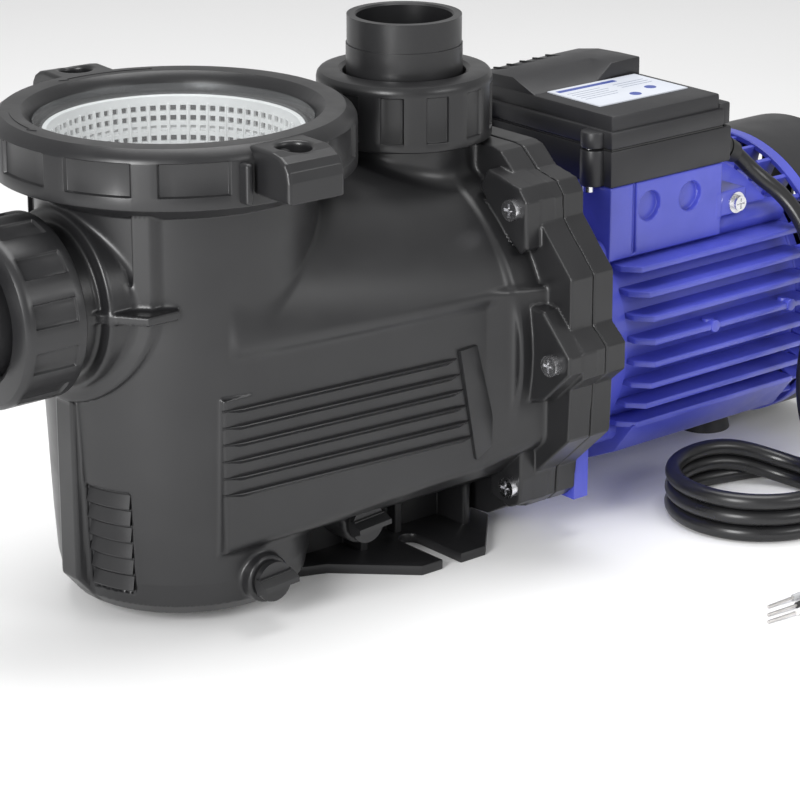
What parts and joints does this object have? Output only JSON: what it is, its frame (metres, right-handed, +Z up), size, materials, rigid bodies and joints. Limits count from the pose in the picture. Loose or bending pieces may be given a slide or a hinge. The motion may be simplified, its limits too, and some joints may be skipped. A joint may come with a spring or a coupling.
{
  "type": "self-priming swimming-pool pump",
  "caption": "Self-priming pool pump: black moulded strainer pot with clear lid and union nuts, castellated flange, blue finned motor, black terminal box, fan cover and mains cord.",
  "frame": {"origin": "on the floor plane, under the discharge port axis, in the pump's centre plane", "axes": "+X runs from the suction port to the motor along the pump's length, +Y to the rear side, +Z up"},
  "size_m": [0.6024, 0.3532, 0.2804],
  "materials": {
    "moulded_black": "satin, fine mould texture",
    "inner_black": "glass-filled, dull",
    "box_black": "fine grained",
    "cover_black": "satin",
    "basket_white": "moulded white",
    "clear_lens": "clear polycarbonate",
    "ceramic_white": "smooth",
    "blue_paint": "semi-gloss over cast aluminium",
    "zinc_screw": "zinc plated",
    "shaft_steel": "ground",
    "bearing_steel": "ground and polished",
    "lamination_steel": "stacked sheets",
    "copper_winding": "varnished copper wire",
    "black_rubber": "smooth",
    "cord_rubber": "smooth sheath",
    "lead_insulation": "smooth",
    "tinned_copper": "tinned strands",
    "plate_foil": "printed foil plate, no lettering"
  },
  "bodies": {
    "housing": {"pump_casing": "moulded_black", "seal_plate": "moulded_black", "casing_screws": "zinc_screw", "casing_gasket": "black_rubber", "diffuser": "inner_black", "seal_seat": "ceramic_white", "front_shield": "blue_paint", "motor_frame": "blue_paint", "rear_shield": "blue_paint", "stator_core": "lamination_steel", "stator_windings": "copper_winding", "front_bearing_outer": "bearing_steel", "rear_bearing_outer": "bearing_steel", "fan_cover": "cover_black", "fan_cover_screws": "zinc_screw", "tie_bolts": "zinc_screw", "motor_bolts": "zinc_screw", "terminal_box": "box_black", "terminal_cover": "box_black", "terminal_gasket": "black_rubber", "cover_screws": "zinc_screw", "capacitor": "ceramic_white", "terminal_block": "inner_black", "rating_plate": "plate_foil", "cable_gland": "black_rubber", "earth_screw": "zinc_screw", "motor_foot": "black_rubber", "cord_tube": "cord_rubber", "cord_coil": "cord_rubber", "cord_tail": "cord_rubber", "lead_wires": "lead_insulation", "conductor_tips": "tinned_copper"},
    "lid": {"lid_lens": "clear_lens", "lid_o_ring": "black_rubber"},
    "lid_ring": {"lock_ring": "moulded_black"},
    "basket": {"strainer_basket": "basket_white"},
    "suction_union": {"suction_tailpiece": "moulded_black", "suction_o_ring": "black_rubber"},
    "suction_ring": {"suction_nut": "moulded_black"},
    "discharge_union": {"discharge_tailpiece": "moulded_black", "discharge_o_ring": "black_rubber"},
    "discharge_ring": {"discharge_nut": "moulded_black"},
    "pot_plug_seal": {"pot_plug_o_ring": "black_rubber"},
    "pot_plug": {"pot_drain_plug": "moulded_black"},
    "volute_plug_seal": {"volute_plug_o_ring": "black_rubber"},
    "volute_plug": {"volute_drain_plug": "moulded_black"},
    "rotor": {"shaft": "shaft_steel", "rotor_core": "lamination_steel", "impeller": "inner_black", "seal_rotor": "shaft_steel", "slinger": "black_rubber", "front_bearing_inner": "bearing_steel", "rear_bearing_inner": "bearing_steel", "cooling_fan": "inner_black"}
  },
  "joints": [
    {"name": "rotor_spin", "type": "hinge", "parent": "housing", "child": "rotor", "pos_m": [0.1, 0, 0.0935], "axis": [1, 0, 0], "continuous": true},
    {"name": "lid_lift", "type": "slide", "parent": "housing", "child": "lid", "axis": [0, 0, 1], "range_m": [0, 0.2]},
    {"name": "lock_ring_turn", "type": "hinge", "parent": "lid", "child": "lid_ring", "pos_m": [-0.1483, 0, 0.24], "axis": [0, 0, 1], "range_deg": [0, 45]},
    {"name": "basket_lift", "type": "slide", "parent": "housing", "child": "basket", "axis": [0, 0, 1], "range_m": [0, 0.17]},
    {"name": "suction_union_pull", "type": "slide", "parent": "housing", "child": "suction_union", "axis": [-1, 0, 0], "range_m": [0, 0.03]},
    {"name": "suction_nut_turn", "type": "hinge", "parent": "suction_union", "child": "suction_ring", "pos_m": [-0.255, 0, 0.17], "axis": [-1, 0, 0], "range_deg": [0, 2700]},
    {"name": "discharge_union_pull", "type": "slide", "parent": "housing", "child": "discharge_union", "axis": [0, 0, 1], "range_m": [0, 0.03]},
    {"name": "discharge_nut_turn", "type": "hinge", "parent": "discharge_union", "child": "discharge_ring", "pos_m": [0, 0, 0.238], "axis": [0, 0, 1], "range_deg": [0, 2700]},
    {"name": "pot_plug_out", "type": "slide", "parent": "housing", "child": "pot_plug_seal", "axis": [0, -1, 0], "range_m": [0, 0.03]},
    {"name": "pot_plug_turn", "type": "hinge", "parent": "pot_plug_seal", "child": "pot_plug", "pos_m": [-0.1476, -0.071, 0.0255], "axis": [0, -1, 0], "range_deg": [0, 4320]},
    {"name": "volute_plug_out", "type": "slide", "parent": "housing", "child": "volute_plug_seal", "axis": [0, -1, 0], "range_m": [0, 0.03]},
    {"name": "volute_plug_turn", "type": "hinge", "parent": "volute_plug_seal", "child": "volute_plug", "pos_m": [-0.071, -0.051, 0.031], "axis": [0, -1, 0], "range_deg": [0, 4320]}
  ],
  "couplings": [
    {"joint": "basket_lift", "follows": "lid_lift", "ratio": 0.85},
    {"joint": "suction_nut_turn", "follows": "suction_union_pull", "rad_per_m": 1570.8},
    {"joint": "discharge_nut_turn", "follows": "discharge_union_pull", "rad_per_m": 1570.8},
    {"joint": "pot_plug_turn", "follows": "pot_plug_out", "rad_per_m": 2513.3},
    {"joint": "volute_plug_turn", "follows": "volute_plug_out", "rad_per_m": 2513.3}
  ]
}
